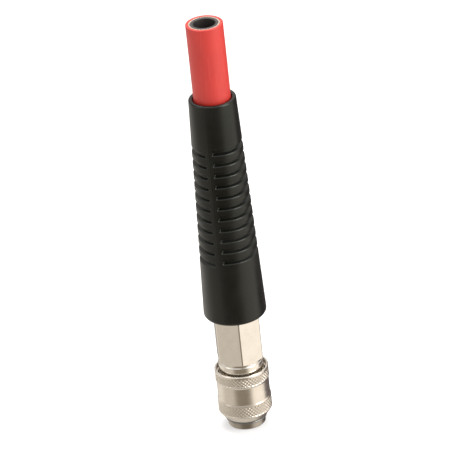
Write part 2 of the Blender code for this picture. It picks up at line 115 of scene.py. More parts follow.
ADAPTER_NECK_RADIUS = 9.8
ADAPTER_SHOULDER = (37.5, 44.0)
STEM_ACROSS_FLATS = 17.0
STEM_EDGE_RADIUS = 0.3
STEM_COLLAR = (58.6, 63.0)
STEM_THREAD_RADIUS = 8.0
HOSE_BORE_RADIUS = 4.75
HOSE_LINER_RADIUS = 6.1
HOSE_BRAID_RADIUS = 6.75
YARN_COUNT = 36

# Bend restrictor. Its two moulded halves meet at the webs.
BOOT_TOP_RADIUS = 10.2
BOOT_BORE_RADIUS = 8.3
CUFF_END = 81.9
COLLAR_START = 138.1
WEB_ANGLE = math.radians(-112.0)
WEB_HALF_WIDTH = math.radians(7.0)
GROOVE_RUN_OUT = math.radians(2.5)
GROOVE_FIRST = (84.9, 83.5)
GROOVE_PITCH = 5.11
GROOVE_COUNT = 11
GROOVE_DEPTH = 1.4
GROOVE_HALF_WIDTH = 1.4
GROOVE_WALL = 0.95
GROOVE_ROWS = 20.0

# Knurl on the locking sleeve's two rims.
KNURL_TEETH = 48
KNURL_PITCH = 1.7
KNURL_DEPTH = 0.30
KNURL_LAND = 0.25
KNURL_FADE = 0.25
FRONT_KNURL = (7.7, 12.9)
REAR_KNURL = (22.7, 26.6)


def span(node):
    """Lowest height, highest height and outer radius of a CAD node, in mm."""
    low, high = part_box(node)
    return low[2] / MM, high[2] / MM, high[0] / MM


# ---------------------------------------------------------------- geometry

def even_angles(count, start=0.0):
    """Angles spread evenly round a full turn."""
    return [start + FULL_TURN * index / count for index in range(count)]


def round_place(radius, angle, height):
    """Point in metres at a radius and height in mm and an angle about Z."""
    return radius * math.cos(angle) * MM, radius * math.sin(angle) * MM, height * MM


def arc_points(before, corner, after, radius):
    """Points of the arc that rounds one corner of an outline."""
    corner = Vector(corner)
    back = Vector(before) - corner
    ahead = Vector(after) - corner
    half = back.angle(ahead) / 2.0
    reach = min(radius / math.tan(half), LONGEST_ROUNDING * back.length, LONGEST_ROUNDING * ahead.length)
    radius = reach * math.tan(half)
    back.normalize()
    ahead.normalize()
    centre = corner + (back + ahead).normalized() * (radius / math.sin(half))
    first = corner + back * reach - centre
    sweep = first.angle_signed(corner + ahead * reach - centre)
    steps = max(2, math.ceil(abs(sweep) / ARC_STEP))
    points = []
    for index in range(steps + 1):
        turn = Matrix.Rotation(-sweep * index / steps, 2)
        points.append(tuple(centre + turn @ first))
    return points


def rounded(outline):
    """Turn a closed outline of (radius, height[, rounding]) into points."""
    points = []
    for index, entry in enumerate(outline):
        if len(entry) < 3:
            points.append(entry)
            continue
        before = outline[index - 1][:2]
        after = outline[(index + 1) % len(outline)][:2]
        points += arc_points(before, entry[:2], after, entry[2])
    return points


def refined(points, low, high, step):
    """Split an outline's long runs between two heights."""
    result = []
    for index, point in enumerate(points):
        following = points[(index + 1) % len(points)]
        result.append(point)
        lower, upper = sorted((point[1], following[1]))
        inside = lower >= low - TINY and upper <= high + TINY
        length = math.dist(point, following)
        if not inside or length <= step:
            continue
        count = math.ceil(length / step)
        for part in range(1, count):
            share = part / count
            result.append((point[0] + share * (following[0] - point[0]),
                           point[1] + share * (following[1] - point[1])))
    return result


def new_piece(name, mesh, sharp_degrees=SHARP_DEGREES):
    """Link a mesh as an object, shaded smooth apart from its sharp edges."""
    mesh.shade_smooth()
    mesh.set_sharp_from_angle(angle=math.radians(sharp_degrees))
    piece = bpy.data.objects.new(name, mesh)
    bpy.context.scene.collection.objects.link(piece)
    return piece


def lathe(name, points, angles=None, shape=None):
    """Turn a closed list of (radius, height) points about Z.

    shape(angle, radius, height) may change the radius of any point.
    """
    angles = angles or even_angles(TURNED_SIDES)
    vertices = []
    rows = []
    for radius, height in points:
        row = []
        for angle in angles:
            if radius < TINY and row:
                row.append(row[0])
                continue
            reach = shape(angle, radius, height) if shape else radius
            row.append(len(vertices))
            vertices.append(round_place(reach, angle, height))
        rows.append(row)
    faces = []
    for index, row in enumerate(rows):
        following = rows[(index + 1) % len(rows)]
        for column in range(len(angles)):
            beside = (column + 1) % len(angles)
            loop = [row[column], row[beside], following[beside], following[column]]
            corners = list(dict.fromkeys(loop))
            if len(corners) > 2:
                faces.append(corners)
    mesh = bpy.data.meshes.new(name)
    mesh.from_pydata(vertices, [], faces)
    return new_piece(name, outward(mesh))


def outward(mesh):
    """Point a closed mesh's faces outwards."""
    bm = bmesh.new()
    bm.from_mesh(mesh)
    bmesh.ops.recalc_face_normals(bm, faces=bm.faces)
    bm.to_mesh(mesh)
    bm.free()
    return mesh


def weigh_normals(piece):
    """Keep flat faces flat beside their rounded edges."""
    modifier = piece.modifiers.new("weighted_normal", "WEIGHTED_NORMAL")
    modifier.keep_sharp = True


def radial_matrix(angle, radius, height):
    """A frame round the axis whose Z points outwards; lengths in mm."""
    outwards = Vector((math.cos(angle), math.sin(angle), 0.0))
    place = Matrix.Translation((outwards * radius + Vector((0.0, 0.0, height))) * MM)
    return place @ outwards.to_track_quat("Z", "Y").to_matrix().to_4x4()


def drill(piece, places, radius, depth):
    """Cut round holes centred on the given frames, along their Z."""
    bm = bmesh.new()
    for place in places:
        bmesh.ops.create_cone(bm, cap_ends=True, segments=48, radius1=radius * MM,
                              radius2=radius * MM, depth=depth * MM, matrix=place)
    mesh = bpy.data.meshes.new("drill")
    bm.to_mesh(mesh)
    bm.free()
    cutter = bpy.data.objects.new("drill", mesh)
    bpy.context.scene.collection.objects.link(cutter)
    modifier = piece.modifiers.new("drill", "BOOLEAN")
    modifier.object = cutter
    modifier.operation = "DIFFERENCE"
    graph = bpy.context.evaluated_depsgraph_get()
    cut_mesh = bpy.data.meshes.new_from_object(piece.evaluated_get(graph))
    piece.modifiers.clear()
    old_mesh = piece.data
    piece.data = cut_mesh
    bpy.data.meshes.remove(old_mesh)
    bpy.data.objects.remove(cutter)
    cut_mesh.set_sharp_from_angle(angle=math.radians(SHARP_DEGREES))


def coil(name, mean_radius, wire_radius, start, end, turns):
    """Coil spring with one closed turn at each end, ground flat."""
    sides = 16
    per_turn = 56
    ground_share = 0.9
    closed_pitch = 2.08
    count = int(turns * per_turn) + 1
    low = start + wire_radius * ground_share
    high = end - wire_radius * ground_share
    closed = closed_pitch * wire_radius
    bm = bmesh.new()
    rings = []
    for index in range(count):
        turn = index / per_turn
        if turn < 1.0:
            height = low + closed * turn
        elif turn > turns - 1.0:
            height = high - closed * (turns - turn)
        else:
            height = low + closed + (turn - 1.0) / (turns - 2.0) * (high - low - 2.0 * closed)
        angle = FULL_TURN * turn
        ring = []
        for side in range(sides):
            around = FULL_TURN * side / sides
            radius = mean_radius + wire_radius * math.cos(around)
            ground_height = min(max(height + wire_radius * math.sin(around), start), end)
            ring.append(bm.verts.new(round_place(radius, angle, ground_height)))
        rings.append(ring)
    for ring, following in zip(rings, rings[1:]):
        for side in range(sides):
            beside = (side + 1) % sides
            bm.faces.new((ring[side], ring[beside], following[beside], following[side]))
    bm.faces.new(rings[0])
    bm.faces.new(rings[-1])
    mesh = bpy.data.meshes.new(name)
    bm.to_mesh(mesh)
    bm.free()
    return new_piece(name, outward(mesh), COIL_SHARP_DEGREES)


def stand_for(piece, node, body, material):
    """Give a piece its material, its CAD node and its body."""
    piece.data.materials.clear()
    piece.data.materials.append(material)
    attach(piece, body)
    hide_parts(node)


# --------------------------------------------------------------- materials

def add_node(tree, kind, inputs=None, **settings):
    """Add a shader node. Inputs are values or other nodes' sockets."""
    node = tree.nodes.new(kind)
    for name, value in settings.items():
        setattr(node, name, value)
    for name, value in (inputs or {}).items():
        if isinstance(value, bpy.types.NodeSocket):
            tree.links.new(value, node.inputs[name])
        else:
            node.inputs[name].default_value = value
    return node


def start_material(name, roughness, metallic):
    """A Principled material with its shader and its object coordinates."""
    material = bpy.data.materials.new(name)
    material.use_nodes = True
    tree = material.node_tree
    shader = tree.nodes["Principled BSDF"]
    shader.inputs["Roughness"].default_value = roughness
    shader.inputs["Metallic"].default_value = metallic
    coords = add_node(tree, "ShaderNodeTexCoord").outputs["Object"]
    return material, tree, shader, coords


def noise(tree, coords, scale, detail=4.0):
    """Noise value at a scale in cycles per metre."""
    inputs = {"Vector": coords, "Scale": scale, "Detail": detail, "Roughness": 0.55}
    return add_node(tree, "ShaderNodeTexNoise", inputs).outputs["Fac"]


def remap(tree, value, low, high, new_low, new_high):
    """Map a value from one range to another, clamped."""
    inputs = {"Value": value, "From Min": low, "From Max": high, "To Min": new_low, "To Max": new_high}
    return add_node(tree, "ShaderNodeMapRange", inputs).outputs["Result"]


def blend_colours(tree, factor, first, second):
    """Mix two colours by a value."""
    mix = add_node(tree, "ShaderNodeMix", data_type="RGBA")
    tree.links.new(factor, mix.inputs["Factor"])
    for socket, value in ((mix.inputs[6], first), (mix.inputs[7], second)):
        if isinstance(value, bpy.types.NodeSocket):
            tree.links.new(value, socket)
        else:
            socket.default_value = value
    return mix.outputs[2]


def stretch(tree, coords, scale):
    """Scale coordinates unevenly, for grain with a direction."""
    return add_node(tree, "ShaderNodeMapping", {"Vector": coords, "Scale": scale}).outputs["Vector"]


def add_bump(tree, shader, layers):
    """Chain bump layers of (height socket, strength, distance in mm)."""
    normal = None
    for height, strength, distance in layers:
        inputs = {"Height": height, "Strength": strength, "Distance": distance * MM}
        if normal is not None:
            inputs["Normal"] = normal
        normal = add_node(tree, "ShaderNodeBump", inputs).outputs["Normal"]
    tree.links.new(normal, shader.inputs["Normal"])


def machined_metal(name, colour, dark, roughness, line_pitch, line_strength):
    """Turned and plated metal: tool lines, cloudy plating, and painted shade that darkens the hollows.

    The wave texture repeats every FULL_TURN / 20 at a scale of 1.
    """
    material, tree, shader, coords = start_material(name, roughness, 1.0)
    cloud = noise(tree, coords, 160.0)
    fine = noise(tree, coords, 2600.0, 3.0)
    geometry = add_node(tree, "ShaderNodeNewGeometry")
    # Painted shade: the colour darkens towards the dark colour in hollows, such as the knurl's valleys and
    # the grooves.
    hollow = remap(tree, geometry.outputs["Pointiness"], 0.42, 0.50, 1.0, 0.0)
    tarnish = remap(tree, cloud, 0.45, 0.75, 0.0, 0.16)
    # The dark colour stands for tarnish in the cloudy patches and for painted shade in the hollows.
    shade = add_node(tree, "ShaderNodeMath", {0: hollow, 1: tarnish}, operation="MAXIMUM")
    tint = blend_colours(tree, shade.outputs["Value"], colour, dark)
    tree.links.new(tint, shader.inputs["Base Color"])
    rough = remap(tree, fine, 0.3, 0.7, roughness - 0.05, roughness + 0.07)
    worn = add_node(tree, "ShaderNodeMath", {0: rough, 1: remap(tree, cloud, 0.4, 0.7, 0.0, 0.03)},
                    operation="ADD")
    tree.links.new(worn.outputs["Value"], shader.inputs["Roughness"])
    wave_rate = 20.0
    inputs = {"Vector": coords, "Scale": FULL_TURN / (wave_rate * line_pitch * MM),
              "Distortion": 0.6, "Detail": 2.0, "Detail Scale": 1.5}
    lines = add_node(tree, "ShaderNodeTexWave", inputs, bands_direction="Z")
    scratch = noise(tree, stretch(tree, coords, (1.0, 1.0, 14.0)), 500.0, 2.0)
    add_bump(tree, shader, [(lines.outputs["Fac"], line_strength, 0.02), (scratch, 0.08, 0.03),
                            (fine, 0.06, 0.02)])
    return material


def wire_metal(name, colour, roughness):
    """Drawn spring wire: darker streaks, which are also rougher."""
    material, tree, shader, coords = start_material(name, roughness, 1.0)
    streak = noise(tree, stretch(tree, coords, (1.0, 1.0, 3.0)), 900.0, 5.0)
    dark = tuple(channel * 0.55 for channel in colour[:3]) + (1.0,)
    tint = blend_colours(tree, remap(tree, streak, 0.35, 0.7, 0.0, 1.0), colour, dark)
    tree.links.new(tint, shader.inputs["Base Color"])
    tree.links.new(remap(tree, streak, 0.3, 0.7, roughness - 0.06, roughness + 0.12),
                   shader.inputs["Roughness"])
    add_bump(tree, shader, [(streak, 0.12, 0.03)])
    return material


def moulded_rubber(name, colour, bloom, roughness, grain):
    """Black moulded rubber: faint bloom, dusty flecks, paler edges and a fine grain."""
    material, tree, shader, coords = start_material(name, roughness, 0.0)
    shader.inputs["Specular IOR Level"].default_value = 0.42
    shader.inputs["Specular Tint"].default_value = (0.97, 1.0, 0.92, 1.0)
    cloud = noise(tree, coords, 70.0, 5.0)
    fleck = noise(tree, coords, 1400.0, 3.0)
    fine = noise(tree, coords, 3200.0, 2.0)
    geometry = add_node(tree, "ShaderNodeNewGeometry")
    edge = remap(tree, geometry.outputs["Pointiness"], 0.51, 0.60, 0.0, 0.12)
    film = remap(tree, cloud, 0.40, 0.72, 0.0, 0.55)
    dust = remap(tree, fleck, 0.62, 0.80, 0.0, 0.5)
    marks = add_node(tree, "ShaderNodeMath", {0: film, 1: dust}, operation="ADD")
    marks = add_node(tree, "ShaderNodeMath", {0: marks.outputs["Value"], 1: edge}, operation="ADD",
                     use_clamp=True)
    tree.links.new(blend_colours(tree, marks.outputs["Value"], colour, bloom), shader.inputs["Base Color"])
    tree.links.new(remap(tree, cloud, 0.3, 0.7, roughness - 0.06, roughness + 0.08),
                   shader.inputs["Roughness"])
    add_bump(tree, shader, [(fine, grain, 0.05), (fleck, grain * 0.6, 0.06)])
    return material


def hose_rubber(name):
    """Red air hose: extruded cover, textile braid and dark liner."""
    material, tree, shader, coords = start_material(name, 0.5, 0.0)
    parts = add_node(tree, "ShaderNodeSeparateXYZ", {"Vector": coords})
    flat = add_node(tree, "ShaderNodeCombineXYZ", {"X": parts.outputs["X"], "Y": parts.outputs["Y"]})
    radius = add_node(tree, "ShaderNodeVectorMath", {0: flat.outputs["Vector"]}, operation="LENGTH")
    radius = radius.outputs["Value"]
    cloud = noise(tree, coords, 60.0, 5.0)
    streak = noise(tree, stretch(tree, coords, (1.0, 1.0, 0.06)), 1100.0, 3.0)
    fine = noise(tree, coords, 2600.0, 3.0)
    cover = blend_colours(tree, remap(tree, cloud, 0.3, 0.7, 0.0, 1.0),
                          (0.56, 0.034, 0.024, 1.0), (0.47, 0.026, 0.019, 1.0))
    cover = blend_colours(tree, remap(tree, streak, 0.55, 0.75, 0.0, 0.35), cover, (0.63, 0.062, 0.046, 1.0))
    yarn = noise(tree, coords, 1500.0, 2.0)
    braid = blend_colours(tree, remap(tree, yarn, 0.42, 0.58, 0.0, 1.0),
                          (0.70, 0.62, 0.50, 1.0), (0.30, 0.08, 0.05, 1.0))
    liner = blend_colours(tree, remap(tree, fine, 0.3, 0.7, 0.0, 1.0),
                          (0.020, 0.018, 0.017, 1.0), (0.045, 0.038, 0.036, 1.0))

    def outside(edge):
        """Value that goes from 0 to 1 as the radius passes an edge in mm."""
        return remap(tree, radius, (edge - 0.05) * MM, (edge + 0.05) * MM, 0.0, 1.0)

    past_braid = outside(HOSE_BRAID_RADIUS)
    inner = blend_colours(tree, outside(HOSE_LINER_RADIUS), liner, braid)
    tree.links.new(blend_colours(tree, past_braid, inner, cover), shader.inputs["Base Color"])
    tree.links.new(remap(tree, cloud, 0.3, 0.7, 0.40, 0.52), shader.inputs["Roughness"])
    add_bump(tree, shader, [(streak, 0.18, 0.05), (fine, 0.14, 0.05)])
    return material


def woven_yarn(name):
    """Off-white textile yarn with fine, uneven fibres."""
    material, tree, shader, coords = start_material(name, 0.85, 0.0)
    fibre = noise(tree, coords, 4200.0, 3.0)
    tree.links.new(blend_colours(tree, remap(tree, fibre, 0.35, 0.65, 0.0, 1.0),
                                 (0.66, 0.60, 0.50, 1.0), (0.42, 0.34, 0.27, 1.0)),
                   shader.inputs["Base Color"])
    add_bump(tree, shader, [(fibre, 0.5, 0.06)])
    return material


# Each metal's second colour is its tarnish and the painted shade in its hollows.
NICKEL = machined_metal("satin_nickel", (0.86, 0.81, 0.74, 1.0), (0.52, 0.46, 0.38, 1.0),
                        roughness=0.16, line_pitch=0.34, line_strength=0.05)
SLEEVE_NICKEL = machined_metal("sleeve_nickel", (0.84, 0.78, 0.70, 1.0), (0.44, 0.37, 0.29, 1.0),
                               roughness=0.25, line_pitch=0.28, line_strength=0.06)
STEEL = machined_metal("turned_steel", (0.62, 0.60, 0.57, 1.0), (0.30, 0.28, 0.26, 1.0),
                       roughness=0.28, line_pitch=0.24, line_strength=0.16)
# Body steel: darker than the turned steel, partly its own bare-steel tone and partly painted shade for the
# shadowed mouth under the sleeve.
SHADED_BODY_STEEL = machined_metal("body_steel_with_shade", (0.44, 0.40, 0.35, 1.0), (0.18, 0.16, 0.13, 1.0),
                            roughness=0.30, line_pitch=0.24, line_strength=0.12)
BALL_STEEL = machined_metal("ball_steel", (0.72, 0.72, 0.73, 1.0), (0.50, 0.50, 0.50, 1.0),
                            roughness=0.12, line_pitch=0.20, line_strength=0.0)
BRASS = machined_metal("turned_brass", (0.78, 0.56, 0.26, 1.0), (0.40, 0.25, 0.10, 1.0),
                       roughness=0.26, line_pitch=0.26, line_strength=0.16)
SPRING_WIRE = wire_metal("spring_wire", (0.40, 0.39, 0.38, 1.0), roughness=0.30)
SEAL_RUBBER = moulded_rubber("seal_rubber", (0.016, 0.016, 0.017, 1.0), (0.04, 0.04, 0.04, 1.0),
                             roughness=0.42, grain=0.10)
BOOT_RUBBER = moulded_rubber("boot_rubber", (0.0026, 0.0028, 0.0020, 1.0), (0.009, 0.009, 0.008, 1.0),
                             roughness=0.31, grain=0.20)
HOSE_RUBBER = hose_rubber("hose_rubber")
YARN = woven_yarn("braid_yarn")


# ------------------------------------------------------------------ pieces

def thread_cut(start, end, face_radius, inward=True):
    """Shape function that cuts a screw thread between two heights.

    It cuts the points on the face of that radius: inwards on a shaft,
    outwards in a bore.
    """
    same_face = 0.02
    steepness = 1.15

    def shape(angle, radius, height):
        """Radius of one point, with the thread cut into it."""
        if abs(radius - face_radius) > same_face or not start <= height <= end:
            return radius
        phase = (height / THREAD_PITCH - angle / FULL_TURN) % 1.0
        fade = min(1.0, (height - start) / THREAD_PITCH, (end - height) / THREAD_PITCH)
        groove = THREAD_DEPTH * max(0.0, 1.0 - abs(2.0 * phase - 1.0) * steepness) * fade
        return radius - groove if inward else radius + groove

    return shape


def ball_height():
    """Height of the locking balls' centres."""
    return span("locking_ball_1")[1] - BALL_RADIUS


def make_socket_body():
    """Steel body with its mouth, ball holes and rear thread."""
    bottom, top, _ = span("socket_body")
    groove_low, groove_high = RING_GROOVE
    rim = BODY_RADIUS + 0.2
    hole_middle = 7.0
    hole_depth = 5.0
    outline = [
        (BODY_RADIUS, top, 0.5), (BODY_RADIUS, BODY_THREAD_START), (BODY_RADIUS, groove_high, 0.1),
        (RING_GROOVE_RADIUS, groove_high, 0.1), (RING_GROOVE_RADIUS, groove_low, 0.1),
        (rim, groove_low, 0.1), (rim, bottom + 0.3, 0.2),
        (BODY_RADIUS - 0.1, bottom, 0.15), (PLUG_BORE_RADIUS + 0.5, bottom, 0.2),
        (PLUG_BORE_RADIUS, bottom + 0.8, 0.3), (PLUG_BORE_RADIUS, PLUG_BORE_DEPTH, 0.15),
        (VALVE_CHAMBER_RADIUS, PLUG_BORE_DEPTH), (VALVE_CHAMBER_RADIUS, top, 0.15),
    ]
    thread_row = 0.16
    points = refined(rounded(outline), BODY_THREAD_START, top, thread_row)
    thread = thread_cut(BODY_THREAD_START, top - 0.4, BODY_RADIUS)
    body = lathe("body_shell", points, even_angles(120), thread)
    places = [radial_matrix(angle, hole_middle, ball_height()) for angle in even_angles(BALL_COUNT)]
    drill(body, places, BALL_HOLE_RADIUS, hole_depth)
    weigh_normals(body)
    stand_for(body, "socket_body", ROOT, SHADED_BODY_STEEL)


def make_stop_ring():
    """Split ring with rounded edges and two square ends."""
    bottom, top, _ = span("sleeve_stop_ring")
    section = rounded([
        (RING_OUTER_RADIUS, top, 0.25), (RING_OUTER_RADIUS, bottom, 0.25),
        (RING_INNER_RADIUS, bottom, 0.1), (RING_INNER_RADIUS, top, 0.1),
    ])
    start = math.radians(90.0) + RING_GAP / 2.0
    count = 120
    bm = bmesh.new()
    rings = []
    for index in range(count + 1):
        angle = start + (FULL_TURN - RING_GAP) * index / count
        rings.append([bm.verts.new(round_place(radius, angle, height)) for radius, height in section])
    for ring, following in zip(rings, rings[1:]):
        for side in range(len(section)):
            beside = (side + 1) % len(section)
            bm.faces.new((ring[side], ring[beside], following[beside], following[side]))
    bm.faces.new(rings[0])
    bm.faces.new(rings[-1])
    mesh = bpy.data.meshes.new("snap_ring")
    bm.to_mesh(mesh)
    bm.free()
    ring = new_piece("snap_ring", outward(mesh))
    stand_for(ring, "sleeve_stop_ring", ROOT, SPRING_WIRE)


def make_balls():
    """Polished balls, each on its own sliding body."""
    for index in range(BALL_COUNT):
        node = f"locking_ball_{index + 1}"
        low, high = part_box(node)
        centre = (Vector(low) + Vector(high)) / 2.0
        bm = bmesh.new()
        bmesh.ops.create_uvsphere(bm, u_segments=40, v_segments=24, radius=BALL_RADIUS * MM,
                                  matrix=Matrix.Translation(centre))
        mesh = bpy.data.meshes.new(f"steel_ball_{index + 1}")
        bm.to_mesh(mesh)
        bm.free()
        ball = new_piece(mesh.name, mesh)
        stand_for(ball, node, f"ball_{index + 1}", BALL_STEEL)


def knurl_height(angle, height):
    """Height of a diamond knurl: two crossed sets of V grooves."""
    turn = KNURL_TEETH * angle / FULL_TURN
    first = abs(2.0 * ((turn + height / KNURL_PITCH) % 1.0) - 1.0)
    second = abs(2.0 * ((turn - height / KNURL_PITCH) % 1.0) - 1.0)
    return -KNURL_DEPTH * max(0.0, max(first, second) - KNURL_LAND) / (1.0 - KNURL_LAND)


def make_locking_sleeve():
    """Outer sleeve: conical nose, two knurled rims and a smooth waist."""
    bottom, top, radius = span("locking_sleeve")
    waist = 11.45
    nose = 9.0
    rim_chamfer = 0.3
    counterbore_start = top - SLEEVE_COUNTERBORE_DEPTH
    recess = 9.35
    recess_end = ball_height() - SLEEVE_TRAVEL
    recess_start = recess_end - 1.4
    ramp_end = ball_height() + 0.24
    outline = [
        (radius - rim_chamfer, top, 0.15), (radius, top - rim_chamfer, 0.15), (radius, REAR_KNURL[1]),
        (radius, REAR_KNURL[0]), (radius, 22.5, 0.3), (waist, 21.7, 0.6), (waist - 0.05, 17.5, 6.0),
        (waist, 13.8, 0.6), (radius, 13.1, 0.3), (radius, FRONT_KNURL[1]), (radius, FRONT_KNURL[0]),
        (radius, 7.5, 0.2), (radius - 0.3, 7.0, 0.4), (nose + 0.25, bottom + 0.15, 0.2), (nose, bottom, 0.1),
        (SLEEVE_LAND_RADIUS, bottom, 0.15), (SLEEVE_LAND_RADIUS, recess_start, 0.1),
        (recess, recess_start, 0.15), (recess, recess_end, 0.3),
        (SLEEVE_LAND_RADIUS, ramp_end, 0.3), (SLEEVE_LAND_RADIUS, SLEEVE_STEP, 0.1),
        (SLEEVE_CHAMBER_RADIUS, SLEEVE_STEP, 0.15), (SLEEVE_CHAMBER_RADIUS, counterbore_start, 0.3),
        (SLEEVE_COUNTERBORE_RADIUS, counterbore_start, 0.2), (SLEEVE_COUNTERBORE_RADIUS, top, 0.1),
    ]
    points = rounded(outline)
    knurl_row = 0.17
    sides_per_tooth = 8
    for start, end in (FRONT_KNURL, REAR_KNURL):
        points = refined(points, start, end, knurl_row)

    def shape(angle, reach, height):
        """Sink the knurl's grooves into the two rims."""
        if reach < radius - 0.01:
            return reach
        for start, end in (FRONT_KNURL, REAR_KNURL):
            if start < height < end:
                fade = min(1.0, (height - start) / KNURL_FADE, (end - height) / KNURL_FADE)
                return reach + fade * knurl_height(angle, height - start)
        return reach

    sleeve = lathe("sleeve_shell", points, even_angles(KNURL_TEETH * sides_per_tooth), shape)
    weigh_normals(sleeve)
    stand_for(sleeve, "locking_sleeve", "sleeve", SLEEVE_NICKEL)


def hex_reach(angle, across_flats, edge_radius):
    """Distance from the axis to a hexagon with rounded edges."""
    half = across_flats / 2.0
    sixth = FULL_TURN / 6.0
    offset = abs((angle - HEX_TURN + sixth / 2.0) % sixth - sixth / 2.0)
    centre = (half - edge_radius) / math.cos(sixth / 2.0)
    tangent = math.atan2(edge_radius * math.sin(sixth / 2.0),
                         centre + edge_radius * math.cos(sixth / 2.0))
    if offset < tangent:
        return centre * math.cos(offset) + math.sqrt(edge_radius ** 2 - (centre * math.sin(offset)) ** 2)
    return half / math.cos(sixth / 2.0 - offset)


def hex_angles():
    """Angles that crowd round the six edges of the hexagon."""
    degrees = [-2.4, -1.8, -1.2, -0.8, -0.4, 0.0, 0.4, 0.8, 1.2, 1.8, 2.4]
    degrees += [4.0 + 4.0 * index for index in range(14)]
    return [HEX_TURN + math.radians(60.0 * side + offset) for side in range(6) for offset in degrees]


def make_adapter():
    """Hexagonal adapter with turned ends, neck, tail and two thread bores."""
    bottom, top, _ = span("hex_adapter")
    corner = HEX_ACROSS_FLATS / 2.0 / math.cos(math.pi / 6.0)
    beyond_corner = corner + 0.3
    neck = ADAPTER_NECK_RADIUS
    undercut = neck - 0.35
    bore = THREAD_BORE_RADIUS
    air_way = 6.7
    shoulder_low, shoulder_high = ADAPTER_SHOULDER
    outline = [
        (neck, top, 0.3), (neck, HEX_END, 0.2),
        (beyond_corner, HEX_END - 0.9), (beyond_corner, HEX_START + 0.95), (corner - 1.5, HEX_START, 0.15),
        (undercut, HEX_START, 0.2), (undercut, HEX_START - 0.9, 0.25),
        (neck, HEX_START - 1.2, 0.15), (neck, bottom, 0.35), (bore, bottom, 0.3),
        (bore, shoulder_low), (air_way, shoulder_low, 0.2), (air_way, shoulder_high, 0.2),
        (bore, shoulder_high), (bore, top - 0.6), (bore + 0.5, top, 0.1),
    ]
    points = rounded(outline)
    chamfer_row = 0.12
    points = refined(points, HEX_START - 0.05, HEX_START + 1.0, chamfer_row)
    points = refined(points, HEX_END - 1.0, HEX_END + 0.05, chamfer_row)
    points = refined(points, bottom + 0.2, shoulder_low, THREAD_ROW)
    points = refined(points, shoulder_high, top, THREAD_ROW)
    front = thread_cut(bottom, shoulder_low - 1.0, bore, inward=False)
    rear = thread_cut(shoulder_high + 0.5, top - 0.6, bore, inward=False)

    def shape(angle, reach, height):
        """Flats outside, threads inside."""
        if reach < neck - 0.4:
            return rear(angle, front(angle, reach, height), height)
        if HEX_START - 0.01 < height < HEX_END - 0.01:
            return min(reach, hex_reach(angle, HEX_ACROSS_FLATS, HEX_EDGE_RADIUS))
        return reach

    adapter = lathe("hex_nut_body", points, hex_angles(), shape)
    weigh_normals(adapter)
    stand_for(adapter, "hex_adapter", ROOT, NICKEL)


def simple_ring(name, node, body, material, inner, rounding):
    """A washer or gasket with rounded edges, as tall and wide as its node."""
    bottom, top, radius = span(node)
    outline = [(radius, top, rounding), (radius, bottom, rounding),
               (inner, bottom, rounding), (inner, top, rounding)]
    ring = lathe(name, rounded(outline))
    weigh_normals(ring)
    stand_for(ring, node, body, material)


def make_plug_seal():
    """Lip seal with an inner lip and an outer hollow between two beads."""
    bottom, top, radius = span("plug_seal")
    mouth, lip, throat = 5.9, 5.35, 5.75
    outline = [
        (radius, top, 0.2), (radius - 0.25, (top + bottom) / 2.0, 0.6), (radius, bottom, 0.2),
        (mouth, bottom, 0.15), (lip, bottom + 1.1, 0.3), (lip, bottom + 1.6, 0.25),
        (throat, bottom + 2.0, 0.3), (throat, top, 0.2),
    ]
    seal = lathe("lip_seal", rounded(outline))
    stand_for(seal, "plug_seal", ROOT, SEAL_RUBBER)


def port_angles():
    """Angles of the four air ports in the poppet and in its guide."""
    return [math.radians(45.0 + 90.0 * index) for index in range(4)]


def make_valve_seat():
    """Brass seat with a chamfered mouth."""
    bottom, top, radius = span("valve_seat")
    mouth, bore = 4.95, 4.6
    outline = [(radius, top, 0.15), (radius, bottom, 0.15), (mouth, bottom, 0.1),
               (bore, bottom + 0.5, 0.15), (bore, top, 0.2)]
    seat = lathe("brass_seat", rounded(outline))
    weigh_normals(seat)
    stand_for(seat, "valve_seat", ROOT, BRASS)


def make_valve_poppet():
    """Poppet: a stem, a head and a hollow skirt with four ports."""
    bottom, top, head = span("valve_poppet")
    stem, skirt, hollow = 2.0, 4.2, 3.0
    head_low, head_high = 23.2, 25.2
    hollow_end = 22.6
    outline = [
        (0.0, top), (stem, top, 0.4), (stem, head_high, 0.2), (head, head_high, 0.3), (head, head_low, 0.2),
        (skirt, head_low, 0.1), (skirt, bottom, 0.3), (hollow, bottom, 0.2), (hollow, hollow_end, 0.3),
        (0.0, hollow_end),
    ]
    poppet = lathe("poppet_turned", rounded(outline))
    port_middle, port_height = 4.0, 18.6
    port_radius, port_depth = 1.1, 3.0
    ports = [radial_matrix(angle, port_middle, port_height) for angle in port_angles()]
    drill(poppet, ports, port_radius, port_depth)
    weigh_normals(poppet)
    stand_for(poppet, "valve_poppet", "valve", BRASS)


def make_valve_face_seal():
    """Rubber ring on the poppet's head, a little flattened."""
    bottom, top, _ = span("valve_face_seal")
    middle = (bottom + top) / 2.0
    mean_radius = 5.05
    half_width, half_height = 0.6, 0.38
    section = [(mean_radius + half_width * math.cos(angle), middle + half_height * math.sin(angle))
               for angle in even_angles(20)]
    stand_for(lathe("face_ring", section), "valve_face_seal", "valve", SEAL_RUBBER)


def make_spring(name, node, mean_radius, wire_radius, turns):
    """Return spring, coiled over the height of its CAD node."""
    bottom, top, _ = span(node)
    spring = coil(name, mean_radius, wire_radius, bottom, top, turns)
    stand_for(spring, node, ROOT, SPRING_WIRE)
    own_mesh(spring)


